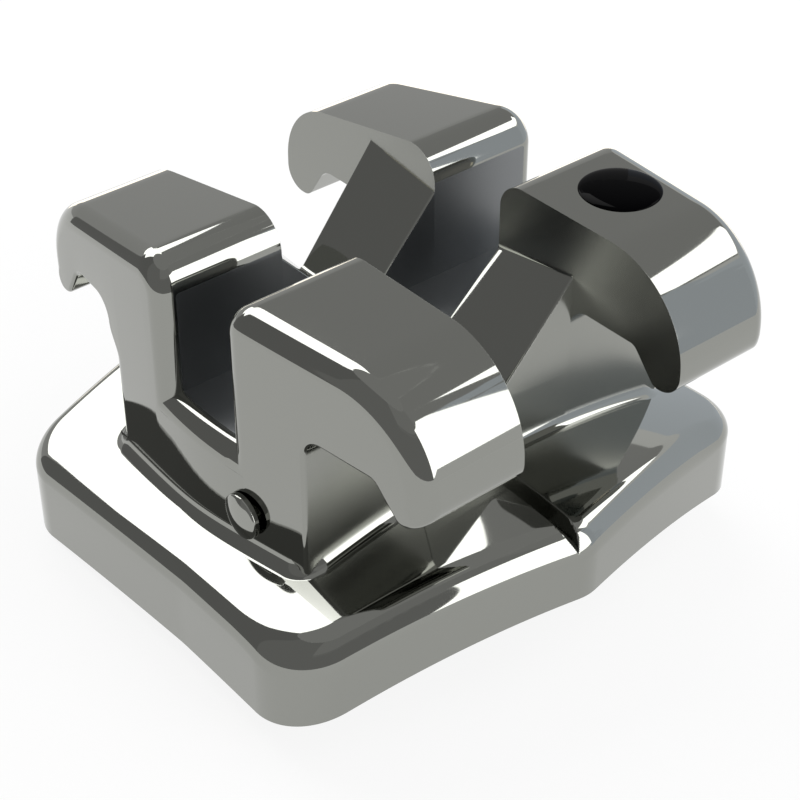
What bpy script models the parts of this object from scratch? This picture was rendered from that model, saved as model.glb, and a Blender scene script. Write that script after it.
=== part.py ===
"""Orthodontic bracket: one metal casting with four tie wings, an enamel dot and a side stud.

The frame has its origin at the middle of the slot floor. X runs along the archwire slot from the
mesial side (-X) to the distal side (+X), Y from the gingival side (-Y) to the occlusal side (+Y)
and Z out of the tooth.
"""

import math

import bmesh
import bpy
import numpy as np

MM = 0.001

# Archwire slot
SLOT_WIDTH = 0.559 * MM
SLOT_DEPTH = 0.927 * MM

# Body, seen along the slot
NECK_GINGIVAL = 0.880 * MM
NECK_OCCLUSAL = 0.965 * MM
GINGIVAL_REACH = 1.712 * MM
OCCLUSAL_REACH = 1.718 * MM
GINGIVAL_CROWN = 0.572 * MM
OCCLUSAL_CROWN = 0.470 * MM
OCCLUSAL_TOP = 0.867 * MM
OCCLUSAL_FALL = 0.188
GINGIVAL_CEILING = 0.383 * MM
OCCLUSAL_CEILING = 0.262 * MM
GINGIVAL_TIP = 0.195 * MM
OCCLUSAL_TIP = 0.006 * MM
LEAD_IN_GINGIVAL = 0.175 * MM
LEAD_IN_OCCLUSAL = 0.205 * MM
BODY_SINK = 0.16 * MM
WING_ROOT = 0.130 * MM
GINGIVAL_LIP = 0.181 * MM
GINGIVAL_HOLLOW = 0.343 * MM
GINGIVAL_NOSE = 0.145 * MM
GINGIVAL_LIP_ROUND = 0.065 * MM
OCCLUSAL_LIP = 0.215 * MM
OCCLUSAL_HOLLOW = 0.382 * MM
OCCLUSAL_NOSE = 0.130 * MM
OCCLUSAL_LIP_ROUND = 0.100 * MM

# Body, seen from above
HALF_WIDTH = 1.393 * MM
TAPER = 0.125
TAPER_DISTAL_GINGIVAL = 0.090
TAPER_BLEND = 0.33 * MM
TAPER_STRIPS = 20
FILLET_ROOM = 0.99
END_FILLET = 0.133 * MM
HOOK_FILLET = 0.026 * MM
FILLET_BLEND = 0.22 * MM

# Valley between the mesial and the distal wings
VALLEY_HALF = 0.559 * MM
CUT_MARGIN = 0.4 * MM
VALLEY_FOOT_GINGIVAL = 0.470 * MM
VALLEY_FOOT_OCCLUSAL = 0.570 * MM
VALLEY_FOOT_RISE = 0.15
VALLEY_OVERLAP = 0.08 * MM
VALLEY_ARC_PIECES = 5
VALLEY_FLOOR = 0.000 * MM
VALLEY_TOP_FILLET = 0.04 * MM
VALLEY_FLOOR_HALF = 0.019 * MM
VALLEY_FLOOR_FILLET = 0.030 * MM
RAMP_GINGIVAL = 0.884 * MM
RAMP_OCCLUSAL = 0.880 * MM
HOOK_GAP_DROP = 0.25 * MM

# Bonding pad
PAD_HALF_DISTAL = 1.658 * MM
PAD_HALF_BACK = 1.736 * MM
PAD_HALF_FRONT = 1.776 * MM
PAD_FRONT = 1.700 * MM
PAD_BACK = 1.860 * MM
PAD_VEE = 0.22
PAD_WAIST_Y = -0.25 * MM
PAD_CORNER = 0.40 * MM
PAD_FILLET = 0.105 * MM
PAD_FRONT_FILLET = 0.165 * MM
PAD_TOP_Z = -0.458 * MM
PAD_BOTTOM_Z = -0.970 * MM
PAD_TILT = 0.085
PAD_RADIUS_X = 5.30 * MM
PAD_RADIUS_Y = 45.0 * MM
PAD_BOTTOM_RADIUS_Y = 30.0 * MM
PAD_FALL_START = 0.90 * MM
PAD_FALL_RADIUS = 3.40 * MM
PAD_EDGE_STEP = 0.20 * MM
PAD_POINT_ROUND = 0.30 * MM
PAD_SIDE_ROUND = 2.0 * MM
FOOT_FILLET = 0.085 * MM

# Scribe line on the gingival half of the pad
SCRIBE_X = -0.080 * MM
SCRIBE_WIDTH = 0.105 * MM
SCRIBE_DEPTH = 0.110 * MM

# Undercut retention grooves in the bonding side
GROOVE_PITCH = 0.420 * MM
GROOVE_MOUTH = 0.150 * MM
GROOVE_ROOT = 0.210 * MM
GROOVE_DEPTH = 0.120 * MM
CROSS_GROOVE_DEPTH = 0.102 * MM
GROOVE_RIM = 0.300 * MM

# Identification dot on the distal gingival wing
DOT_X = 0.980 * MM
DOT_Y = -0.792 * MM
DOT_RADIUS = 0.2475 * MM
DOT_RECESS = 0.090 * MM
DOT_CROWN = 0.030 * MM
SEAT_CLEARANCE = 0.012 * MM

# Stud on the mesial side
STUD_Y = -0.415 * MM
STUD_Z = -0.380 * MM
STUD_RADIUS = 0.136 * MM
STUD_SHANK = 0.095 * MM
STUD_EDGE = 0.045 * MM
STUD_CROWN = 0.030 * MM
STUD_SOCKET = 0.180 * MM


def clear_scene():
    for obj in list(bpy.data.objects):
        bpy.data.objects.remove(obj)


def material(name, colour, metallic, roughness, coat=0.0):
    made = bpy.data.materials.new(name)
    made.use_nodes = True
    shader = made.node_tree.nodes["Principled BSDF"]
    shader.inputs["Base Color"].default_value = (*colour, 1.0)
    shader.inputs["Metallic"].default_value = metallic
    shader.inputs["Roughness"].default_value = roughness
    shader.inputs["Coat Weight"].default_value = coat
    return made


def mesh_object(name, points, faces):
    """An object from points and faces, with its normals turned outwards."""
    mesh = bpy.data.meshes.new(name)
    mesh.from_pydata([tuple(p) for p in points], [], [tuple(f) for f in faces])
    shape = bmesh.new()
    shape.from_mesh(mesh)
    bmesh.ops.recalc_face_normals(shape, faces=shape.faces)
    shape.to_mesh(mesh)
    shape.free()
    obj = bpy.data.objects.new(name, mesh)
    bpy.context.scene.collection.objects.link(obj)
    return obj


def boolean(target, other, operation):
    """Applies an exact Boolean to the target's mesh and removes the other object."""
    modifier = target.modifiers.new(operation.title(), "BOOLEAN")
    modifier.operation = operation
    modifier.solver = "EXACT"
    modifier.object = other
    graph = bpy.context.evaluated_depsgraph_get()
    result = bpy.data.meshes.new_from_object(target.evaluated_get(graph))
    target.modifiers.clear()
    old = target.data
    target.data = result
    bpy.data.meshes.remove(old)
    bpy.data.objects.remove(other)


def rounded(corners, step=math.radians(9.0), pieces=None):
    """A closed outline through corners (u, v, radius, tag), each rounded by an arc, and a tag per point.

    Where the arcs at a side's two ends need more than the side has, both shrink to fit it. Each arc
    has the given number of pieces, or as many as its turn needs at the given step.
    """
    outline = []
    tags = []
    places = np.array([corner[:2] for corner in corners])
    sides = places - np.roll(places, 1, axis=0)
    lengths = np.linalg.norm(sides, axis=1)
    sides /= lengths[:, None]
    after = np.roll(sides, -1, axis=0)
    turns = np.arctan2(sides[:, 0] * after[:, 1] - sides[:, 1] * after[:, 0], (sides * after).sum(1))
    reaches = np.array([corner[2] for corner in corners]) * np.tan(np.abs(turns) / 2)
    room = lengths / np.maximum(reaches + np.roll(reaches, 1), 1e-12)
    share = np.minimum(1.0, FILLET_ROOM * np.minimum(room, np.roll(room, -1)))
    for here, into, turn, limit, (_, _, wanted, tag) in zip(places, sides, turns, share, corners):
        radius = wanted * limit
        if radius == 0.0 or abs(turn) < 1e-6:
            outline.append(here)
            tags.append(tag)
            continue
        reach = radius * math.tan(abs(turn) / 2)
        side = math.copysign(1.0, turn)
        centre = here - into * reach + side * radius * np.array((-into[1], into[0]))
        start = here - into * reach - centre
        count = pieces or max(2, math.ceil(abs(turn) / step))
        for k in range(count + 1):
            angle = turn * k / count
            c, s = math.cos(angle), math.sin(angle)
            outline.append(centre + np.array((c * start[0] - s * start[1], s * start[0] + c * start[1])))
            tags.append(tag)
    return np.array(outline), tags


def inward(outline):
    """For each point of a counter-clockwise outline, the mitred step that moves its sides in by one."""
    before = outline - np.roll(outline, 1, axis=0)
    after = np.roll(outline, -1, axis=0) - outline
    before /= np.linalg.norm(before, axis=1)[:, None]
    after /= np.linalg.norm(after, axis=1)[:, None]
    normal_in = np.stack([-before[:, 1], before[:, 0]], 1)
    normal_out = np.stack([-after[:, 1], after[:, 0]], 1)
    middle = normal_in + normal_out
    middle /= np.linalg.norm(middle, axis=1)[:, None]
    return middle / np.clip((middle * normal_in).sum(1), 0.35, None)[:, None]


def blended(outline, radii):
    """The end fillet's radius eased from one value to the next over a short run of the outline."""
    length = np.linalg.norm(np.roll(outline, -1, axis=0) - outline, axis=1)
    at = np.concatenate([[0.0], np.cumsum(length)])
    total = at[-1]
    eased = np.empty(len(radii))
    fine = np.linspace(0.0, total, 2000, endpoint=False)
    nearest = np.searchsorted(at[1:], fine, side="right") % len(radii)
    values = radii[nearest]
    for i, here in enumerate(at[:-1]):
        gap = np.abs(fine - here)
        gap = np.minimum(gap, total - gap)
        weight = np.clip(1 - gap / FILLET_BLEND, 0, None)
        eased[i] = (values * weight).sum() / weight.sum()
    return np.minimum(eased, radii + 0.4 * (eased - radii).clip(0) + (eased - radii).clip(None, 0))


def ring_faces(rings, count, caps=True):
    faces = []
    for r in range(rings - 1):
        for i in range(count):
            j = (i + 1) % count
            faces.append((r * count + i, r * count + j, (r + 1) * count + j, (r + 1) * count + i))
    if caps:
        faces.append(tuple(range(count))[::-1])
        faces.append(tuple(range((rings - 1) * count, rings * count)))
    return faces


def half_width(x, y):
    """Half the body's width on the side of x: widest at the slot, tapering towards the wing tips."""
    slope = np.where((np.asarray(x) > 0) & (np.asarray(y) < 0), TAPER_DISTAL_GINGIVAL, TAPER)
    return HALF_WIDTH - slope * (np.sqrt(np.square(y) + TAPER_BLEND**2) - TAPER_BLEND)


def taper(obj):
    """Cuts the mesh into strips along X, then narrows each strip to the body's width at its y."""
    shape = bmesh.new()
    shape.from_mesh(obj.data)
    reach = max(GINGIVAL_REACH, OCCLUSAL_REACH)
    for y in np.linspace(-reach, reach, TAPER_STRIPS + 1)[1:-1]:
        whole = shape.verts[:] + shape.edges[:] + shape.faces[:]
        bmesh.ops.bisect_plane(shape, geom=whole, dist=1e-9, plane_co=(0, y, 0), plane_no=(0, 1, 0))
    for vert in shape.verts:
        vert.co.x *= float(half_width(vert.co.x, vert.co.y)) / HALF_WIDTH
    shape.to_mesh(obj.data)
    shape.free()


def pad_top(x, y):
    """Height of the pad's top: tilted, curved like the tooth and falling off near its gingival edge."""
    fall = np.clip(-y - PAD_FALL_START, 0.0, None) ** 2 / (2 * PAD_FALL_RADIUS)
    return PAD_TOP_Z - PAD_TILT * y - x * x / (2 * PAD_RADIUS_X) - y * y / (2 * PAD_RADIUS_Y) - fall


def pad_bottom(x, y):
    arch = x * x / (2 * PAD_RADIUS_X) + y * y / (2 * PAD_BOTTOM_RADIUS_Y)
    return PAD_BOTTOM_Z - PAD_TILT * y - arch


def body_outline():
    """The body's side view, counter-clockwise in (y, z), with the end fillet's radius at each point."""
    slot = SLOT_WIDTH / 2
    sunk = PAD_TOP_Z - BODY_SINK
    occlusal_far = OCCLUSAL_TOP - OCCLUSAL_FALL * (OCCLUSAL_REACH - slot)
    corners = [
        (-NECK_GINGIVAL, sunk, 0.0, END_FILLET),
        (NECK_OCCLUSAL, sunk - PAD_TILT * (NECK_OCCLUSAL + NECK_GINGIVAL), 0.0, END_FILLET),
        (NECK_OCCLUSAL, OCCLUSAL_CEILING, WING_ROOT, HOOK_FILLET),
        (OCCLUSAL_REACH - OCCLUSAL_HOLLOW, OCCLUSAL_CEILING, WING_ROOT, HOOK_FILLET),
        (OCCLUSAL_REACH - OCCLUSAL_LIP, OCCLUSAL_TIP, OCCLUSAL_LIP_ROUND, HOOK_FILLET),
        (OCCLUSAL_REACH, OCCLUSAL_TIP, OCCLUSAL_NOSE, HOOK_FILLET),
        (OCCLUSAL_REACH, occlusal_far, OCCLUSAL_CROWN, END_FILLET),
        (slot, OCCLUSAL_TOP, LEAD_IN_OCCLUSAL, END_FILLET),
        (slot, 0.0, 0.0, END_FILLET),
        (-slot, 0.0, 0.0, END_FILLET),
        (-slot, SLOT_DEPTH, LEAD_IN_GINGIVAL, END_FILLET),
        (-GINGIVAL_REACH, SLOT_DEPTH, GINGIVAL_CROWN, END_FILLET),
        (-GINGIVAL_REACH, GINGIVAL_TIP, GINGIVAL_NOSE, HOOK_FILLET),
        (-GINGIVAL_REACH + GINGIVAL_LIP, GINGIVAL_TIP, GINGIVAL_LIP_ROUND, HOOK_FILLET),
        (-GINGIVAL_REACH + GINGIVAL_HOLLOW, GINGIVAL_CEILING, GINGIVAL_LIP_ROUND, HOOK_FILLET),
        (-NECK_GINGIVAL, GINGIVAL_CEILING, WING_ROOT, HOOK_FILLET),
    ]
    outline, radii = rounded(corners)
    return outline, blended(outline, np.array(radii))


def make_body():
    """The side view carried along X, its edges rounded where it ends at the mesial and distal faces."""
    outline, radii = body_outline()
    step = inward(outline)
    rings = []
    angles = np.radians((0, 22.5, 45, 67.5, 90))
    stations = [(a, -1) for a in angles[::-1]] + [(a, 1) for a in angles]
    for angle, side in stations:
        moved = outline + step * (radii * (1 - math.cos(angle)))[:, None]
        rings.append(np.column_stack([side * (HALF_WIDTH - radii * (1 - math.sin(angle))), moved]))
    points = np.concatenate(rings)
    return mesh_object("casting", points, ring_faces(len(rings), len(outline)))


def make_valley_cutter():
    """The mesiodistal valley: upright walls, ramps under them and a rounded floor, along Y.

    The walls' foot, where the ramps begin, rises outwards from the slot.
    """
    reach = max(GINGIVAL_REACH, OCCLUSAL_REACH) + CUT_MARGIN
    high = SLOT_DEPTH + CUT_MARGIN
    inner = SLOT_WIDTH / 2 - VALLEY_OVERLAP
    rings = []
    for y, base in (
        (-reach, VALLEY_FOOT_GINGIVAL),
        (-inner, VALLEY_FOOT_GINGIVAL),
        (inner, VALLEY_FOOT_OCCLUSAL),
        (reach, VALLEY_FOOT_OCCLUSAL),
    ):
        foot = base + VALLEY_FOOT_RISE * (abs(y) - inner)
        corners = [
            (-VALLEY_HALF, high, 0.0, 0.0),
            (-VALLEY_HALF, foot, VALLEY_TOP_FILLET, 0.0),
            (-VALLEY_FLOOR_HALF, VALLEY_FLOOR, VALLEY_FLOOR_FILLET, 0.0),
            (VALLEY_FLOOR_HALF, VALLEY_FLOOR, VALLEY_FLOOR_FILLET, 0.0),
            (VALLEY_HALF, foot, VALLEY_TOP_FILLET, 0.0),
            (VALLEY_HALF, high, 0.0, 0.0),
        ]
        outline, _ = rounded(corners, pieces=VALLEY_ARC_PIECES)
        rings.append(np.column_stack([outline[:, 0], np.full(len(outline), y), outline[:, 1]]))
    return mesh_object("valley", np.concatenate(rings), ring_faces(len(rings), len(outline)))


def make_hook_gap(side):
    """A block that parts the mesial hook from the distal one, down to the root of the wings' ramps."""
    near = RAMP_OCCLUSAL if side > 0 else -RAMP_GINGIVAL
    far = side * (max(GINGIVAL_REACH, OCCLUSAL_REACH) + CUT_MARGIN)
    low = min(GINGIVAL_TIP, OCCLUSAL_TIP) - HOOK_GAP_DROP
    high = SLOT_DEPTH + 1.1 * CUT_MARGIN
    rings = []
    for y in sorted((near, far)):
        plan = ((-VALLEY_HALF, low), (VALLEY_HALF, low), (VALLEY_HALF, high), (-VALLEY_HALF, high))
        rings.append([(x, y, z) for x, z in plan])
    return mesh_object("gap", np.concatenate(rings), ring_faces(2, 4))


def filled_in(outline, values):
    """The closed outline with points added along its long sides, each with its side's first value."""
    points = []
    kept = []
    for here, following, value in zip(outline, np.roll(outline, -1, axis=0), values):
        pieces = math.ceil(np.linalg.norm(following - here) / PAD_EDGE_STEP)
        for k in range(pieces):
            points.append(here + (following - here) * k / pieces)
            kept.append(value)
    return np.array(points), np.array(kept)


def pad_outline():
    """The pad's plan, counter-clockwise, pointed a little at both ends, and its top edge's fillet at each point.

    The gingival edge, which the patient's gum meets, has the larger fillet.
    """
    front = PAD_FRONT - PAD_VEE * PAD_HALF_FRONT
    back = PAD_BACK - PAD_VEE * PAD_HALF_BACK
    corners = [
        (0.0, -PAD_FRONT, PAD_POINT_ROUND, PAD_FRONT_FILLET),
        (PAD_HALF_DISTAL, -PAD_FRONT + PAD_VEE * PAD_HALF_DISTAL, PAD_CORNER, PAD_FILLET),
        (PAD_HALF_DISTAL, PAD_BACK - PAD_VEE * PAD_HALF_DISTAL, PAD_CORNER, PAD_FILLET),
        (0.0, PAD_BACK, PAD_POINT_ROUND, PAD_FILLET),
        (-PAD_HALF_BACK, back, PAD_CORNER, PAD_FILLET),
        (-PAD_HALF_BACK, PAD_WAIST_Y, PAD_SIDE_ROUND, PAD_FILLET),
        (-PAD_HALF_FRONT, -front, PAD_CORNER, PAD_FRONT_FILLET),
    ]
    outline, fillets = rounded(corners)
    outline, fillets = filled_in(outline, np.array(fillets))
    return outline, blended(outline, fillets)


def make_pad():
    """The bonding pad: curved both ways, its top edge rounded."""
    outline, fillets = pad_outline()
    step = inward(outline)
    fractions = (0.93, 0.86, 0.79, 0.65, 0.45, 0.22)
    rings = []
    for scale in fractions[::-1]:
        plan = outline * scale
        rings.append(np.column_stack([plan, pad_bottom(plan[:, 0], plan[:, 1])]))
    rings.append(np.column_stack([outline, pad_bottom(outline[:, 0], outline[:, 1])]))
    for angle in np.radians((0, 22.5, 45, 67.5, 90)):
        plan = outline + step * (fillets * (1 - math.cos(angle)))[:, None]
        drop = fillets * (1 - math.sin(angle))
        rings.append(np.column_stack([plan, pad_top(plan[:, 0], plan[:, 1]) - drop]))
    for scale in fractions:
        plan = (outline + step * fillets[:, None]) * scale
        rings.append(np.column_stack([plan, pad_top(plan[:, 0], plan[:, 1])]))
    count = len(outline)
    points = np.concatenate(rings)
    faces = ring_faces(len(rings), count, caps=False)
    low = len(points)
    points = np.concatenate([points, [(0.0, 0.0, pad_bottom(0.0, 0.0)), (0.0, 0.0, pad_top(0.0, 0.0))]])
    last = (len(rings) - 1) * count
    for i in range(count):
        j = (i + 1) % count
        faces.append((j, i, low))
        faces.append((last + i, last + j, low + 1))
    return mesh_object("pad", points, faces)


def make_foot():
    """A fillet round the body's foot before its taper, sunk a little into the body and into the pad."""
    sink = 0.05 * MM
    overlap = 0.006 * MM
    corners = [
        (HALF_WIDTH, -NECK_GINGIVAL, END_FILLET, 0.0),
        (HALF_WIDTH, NECK_OCCLUSAL, END_FILLET, 0.0),
        (-HALF_WIDTH, NECK_OCCLUSAL, END_FILLET, 0.0),
        (-HALF_WIDTH, -NECK_GINGIVAL, END_FILLET, 0.0),
    ]
    outline, _ = rounded(corners)
    step = inward(outline)
    section = [(sink, -sink), (sink, FOOT_FILLET + sink)]
    for angle in np.radians((0, 18, 36, 54, 72, 90)):
        out = FOOT_FILLET * (1 - math.cos(angle)) - overlap
        section.append((-out, FOOT_FILLET * (1 - math.sin(angle)) - overlap))
    section.append((-FOOT_FILLET, -sink))
    rings = []
    for into, up in section:
        plan = outline + step * into
        over = plan[:, 0] * half_width(plan[:, 0], plan[:, 1]) / HALF_WIDTH
        rings.append(np.column_stack([plan, pad_top(over, plan[:, 1]) + up]))
    count = len(outline)
    faces = ring_faces(len(rings), count, caps=False)
    last = (len(rings) - 1) * count
    for i in range(count):
        j = (i + 1) % count
        faces.append((last + i, last + j, j, i))
    return mesh_object("foot", np.concatenate(rings), faces)


def make_scribe():
    """The cutter for the scribe line: a V that follows the pad's top and runs out through its front wall."""
    start = -NECK_GINGIVAL - FOOT_FILLET - 0.02 * MM
    end = -PAD_FRONT - CUT_MARGIN
    above = 1.5
    half = SCRIBE_WIDTH / 2 * (1 + above)
    rings = []
    for y in np.linspace(end, start, 12):
        level = float(pad_top(SCRIBE_X, y))
        rings.append(
            [
                (SCRIBE_X, y, level - SCRIBE_DEPTH),
                (SCRIBE_X + half, y, level + above * SCRIBE_DEPTH),
                (SCRIBE_X - half, y, level + above * SCRIBE_DEPTH),
            ]
        )
    return mesh_object("scribe", np.concatenate(rings), ring_faces(len(rings), 3))


def make_groove_bars(along_x):
    """Undercut bars that follow the bonding side, wider at the root than at the mouth."""
    points = []
    faces = []
    middle = (PAD_BACK - PAD_FRONT) / 2
    reach_x = PAD_HALF_DISTAL - GROOVE_RIM
    reach_y = (PAD_FRONT + PAD_BACK) / 2 - PAD_VEE * PAD_HALF_BACK - GROOVE_RIM
    across, along = (reach_y, reach_x) if along_x else (reach_x, reach_y)
    root = GROOVE_DEPTH if along_x else CROSS_GROOVE_DEPTH
    proud = 0.05 * MM
    outer = GROOVE_MOUTH - (GROOVE_ROOT - GROOVE_MOUTH) * proud / root
    section = ((-outer, -proud), (-GROOVE_ROOT, root), (GROOVE_ROOT, root), (outer, -proud))
    pieces = 10 if along_x else 4
    count = int(2 * across / GROOVE_PITCH)
    for k in range(count + 1):
        centre = (k - count / 2) * GROOVE_PITCH
        start = len(points)
        for t in np.linspace(-along, along, pieces + 1):
            x0, y0 = (t, centre + middle) if along_x else (centre, t + middle)
            for width, depth in section:
                shift = (0.0, width / 2) if along_x else (width / 2, 0.0)
                points.append((x0 + shift[0], y0 + shift[1], pad_bottom(x0, y0) + depth))
        faces += [tuple(start + i for i in face) for face in ring_faces(pieces + 1, 4)]
    return mesh_object("grooves", points, faces)


def make_disc(name, radius, sections, segments=40):
    """A turned piece about Z: sections are (radius, height) pairs from the bottom to the top."""
    angles = 2 * math.pi * np.arange(segments) / segments
    rings = []
    for r, h in sections:
        rings.append(np.column_stack([r * np.cos(angles), r * np.sin(angles), np.full(segments, h)]))
    return mesh_object(name, np.concatenate(rings), ring_faces(len(rings), segments))


def place(obj, matrix, offset):
    """Moves the mesh's own points, so that the object stays at the origin."""
    points = np.array([v.co for v in obj.data.vertices]) @ np.array(matrix, float).T + np.array(offset)
    obj.data.vertices.foreach_set("co", points.ravel())
    obj.data.update()


UPRIGHT = ((1, 0, 0), (0, 1, 0), (0, 0, 1))
TO_MESIAL = ((0, 0, -1), (0, 1, 0), (1, 0, 0))


def main():
    clear_scene()
    steel = material("polished_steel", (0.60, 0.59, 0.57), 1.0, 0.12)
    enamel = material("black_enamel", (0.008, 0.008, 0.009), 0.0, 0.06, 1.0)
    bright = material("stud_steel", (0.62, 0.61, 0.59), 1.0, 0.16)

    casting = make_body()
    boolean(casting, make_foot(), "UNION")
    taper(casting)
    boolean(casting, make_valley_cutter(), "DIFFERENCE")
    boolean(casting, make_hook_gap(1), "DIFFERENCE")
    boolean(casting, make_hook_gap(-1), "DIFFERENCE")
    boolean(casting, make_pad(), "UNION")
    boolean(casting, make_scribe(), "DIFFERENCE")
    boolean(casting, make_groove_bars(True), "DIFFERENCE")
    boolean(casting, make_groove_bars(False), "DIFFERENCE")

    socket = make_disc("socket", DOT_RADIUS, [(DOT_RADIUS, -DOT_RECESS), (DOT_RADIUS, 0.2 * MM)])
    place(socket, UPRIGHT, (DOT_X, DOT_Y, SLOT_DEPTH))
    boolean(casting, socket, "DIFFERENCE")

    face = float(half_width(-1.0, STUD_Y))
    bore = make_disc("bore", STUD_SHANK, [(STUD_SHANK, -STUD_SOCKET), (STUD_SHANK, 0.1 * MM)])
    place(bore, TO_MESIAL, (-face, STUD_Y, STUD_Z))
    boolean(casting, bore, "DIFFERENCE")
    casting.data.materials.clear()
    casting.data.materials.append(steel)

    seat = DOT_RADIUS - SEAT_CLEARANCE
    dome = [(seat, -DOT_RECESS + SEAT_CLEARANCE), (seat, 0.0)]
    for angle in np.radians((20, 45, 65, 80)):
        dome.append((seat * math.cos(angle), DOT_CROWN * math.sin(angle)))
    dot = make_disc("id_dot", seat, dome)
    place(dot, UPRIGHT, (DOT_X, DOT_Y, SLOT_DEPTH))
    dot.data.materials.append(enamel)

    shank = STUD_SHANK - SEAT_CLEARANCE
    stud_sections = [(shank, -STUD_SOCKET + SEAT_CLEARANCE), (shank, SEAT_CLEARANCE), (STUD_RADIUS, SEAT_CLEARANCE)]
    for share in (1.0, 0.8, 0.6, 0.4, 0.2):
        stud_sections.append((STUD_RADIUS * share, STUD_EDGE + STUD_CROWN * (1 - share**2)))
    stud = make_disc("mesial_stud", STUD_RADIUS, stud_sections)
    place(stud, TO_MESIAL, (-face, STUD_Y, STUD_Z))
    stud.data.materials.append(bright)

    for obj in (casting, dot, stud):
        for polygon in obj.data.polygons:
            polygon.use_smooth = True
        obj.data.set_sharp_from_angle(angle=math.radians(28))


main()
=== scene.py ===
"""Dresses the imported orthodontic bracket: a polished steel casting, its enamel dot and its stud.

Lengths are in millimetres until mesh_piece() writes them in metres. X runs along the archwire slot,
Y from the gingival to the occlusal side and Z out of the tooth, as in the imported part.
"""

import math

import bmesh
import bpy
import numpy as np
from mathutils import Matrix


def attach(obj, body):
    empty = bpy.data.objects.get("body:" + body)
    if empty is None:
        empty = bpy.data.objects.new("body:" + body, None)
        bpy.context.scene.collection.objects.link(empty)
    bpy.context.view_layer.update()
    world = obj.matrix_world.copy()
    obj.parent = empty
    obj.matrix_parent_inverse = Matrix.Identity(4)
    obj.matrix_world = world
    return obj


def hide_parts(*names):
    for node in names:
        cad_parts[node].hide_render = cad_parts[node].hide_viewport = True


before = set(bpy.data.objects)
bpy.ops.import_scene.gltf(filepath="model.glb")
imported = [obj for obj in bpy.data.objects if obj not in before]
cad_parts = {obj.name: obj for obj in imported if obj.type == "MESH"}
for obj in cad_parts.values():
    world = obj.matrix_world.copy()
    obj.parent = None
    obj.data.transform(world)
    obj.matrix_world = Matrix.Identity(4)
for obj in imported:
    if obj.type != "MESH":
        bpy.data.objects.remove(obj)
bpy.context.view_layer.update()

# The casting's sizes in millimetres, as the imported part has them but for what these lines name. Both
# noses have the end fillet here and the hooks' small one there, the occlusal nose is 0.015 mm rounder
# and the cross grooves are 0.018 mm deeper. The dot's radius and the stud's shank are those of the
# pieces, so they are less than their seats by the clearance.
SLOT_HALF, SLOT_DEPTH = 0.2795, 0.927
NECK_GINGIVAL, NECK_OCCLUSAL = 0.880, 0.965
GINGIVAL_REACH, OCCLUSAL_REACH = 1.712, 1.718
OCCLUSAL_TOP, OCCLUSAL_FALL = 0.867, 0.188
GINGIVAL_CROWN, OCCLUSAL_CROWN, NOSE = 0.572, 0.470, 0.145
LEAD_IN_GINGIVAL, LEAD_IN_OCCLUSAL = 0.175, 0.205
GINGIVAL_CEILING, OCCLUSAL_CEILING = 0.383, 0.262
GINGIVAL_TIP, OCCLUSAL_TIP = 0.195, 0.006
GINGIVAL_LIP, GINGIVAL_HOLLOW, GINGIVAL_LIP_ROUND = 0.181, 0.343, 0.065
OCCLUSAL_LIP, OCCLUSAL_HOLLOW, OCCLUSAL_LIP_ROUND = 0.215, 0.382, 0.100
WING_ROOT, BODY_SINK = 0.130, 0.16
HALF_WIDTH, TAPER_BLEND = 1.393, 0.33
TAPER, TAPER_DISTAL_GINGIVAL = 0.125, 0.090
END_FILLET, HOOK_FILLET, FILLET_BLEND = 0.133, 0.026, 0.22
VALLEY_HALF, VALLEY_FLOOR_HALF = 0.559, 0.019
VALLEY_FOOT_GINGIVAL, VALLEY_FOOT_OCCLUSAL, VALLEY_FOOT_RISE = 0.470, 0.570, 0.15
VALLEY_INNER, RAMP_EDGE = 0.1995, 0.012
RAMP_GINGIVAL, RAMP_OCCLUSAL = 0.884, 0.880
PAD_TOP_Z, PAD_BOTTOM_Z, PAD_TILT = -0.458, -0.970, 0.085
PAD_RADIUS_X, PAD_RADIUS_Y, PAD_BOTTOM_RADIUS_Y = 5.30, 45.0, 30.0
PAD_FRONT, PAD_BACK, PAD_VEE = 1.700, 1.860, 0.22
PAD_HALF_DISTAL, PAD_HALF_BACK, PAD_HALF_FRONT = 1.658, 1.736, 1.776
PAD_CORNER, PAD_POINT_ROUND = 0.40, 0.30
PAD_FILLET, PAD_FRONT_FILLET = 0.105, 0.165
PAD_FALL_START, PAD_FALL_RADIUS = 0.90, 3.40
FOOT_FILLET, FOOT_SHELF = 0.085, 0.100
SCRIBE_X, SCRIBE_HALF, SCRIBE_DEPTH, SCRIBE_START = -0.080, 0.0525, 0.110, -0.985
SCRIBE_KEPT, SCRIBE_EASE, GINGIVAL_EDGE = 0.13, 0.08, -1.2
POCKET_X, POCKET_Y, POCKET_MIDDLE_Y = 1.335, 1.125, 0.085
POST_PITCH, POST_FACE, POST_ROOT, POST_HEIGHT = 0.420, 0.270, 0.210, 0.120
DOT_X, DOT_Y, DOT_RADIUS, DOT_CROWN = 0.980, -0.792, 0.2355, 0.030
STUD_Y, STUD_Z, STUD_RADIUS = -0.415, -0.380, 0.136
STUD_SHANK, STUD_EDGE, STUD_CROWN = 0.083, 0.045, 0.030
STUD_LIFT, STUD_RIM, DOT_SUNK, STUD_SUNK = 0.012, 0.018, 0.070, 0.16

# Roughness of the milled faces and of the half-polished ones, and the milled faces' darker colour, which is
# painted shade of the slot's recess.
SATIN, VALLEY_SATIN, SLOT_SHADE_COLOUR = 0.40, 0.25, "#7C7E7F"

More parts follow.
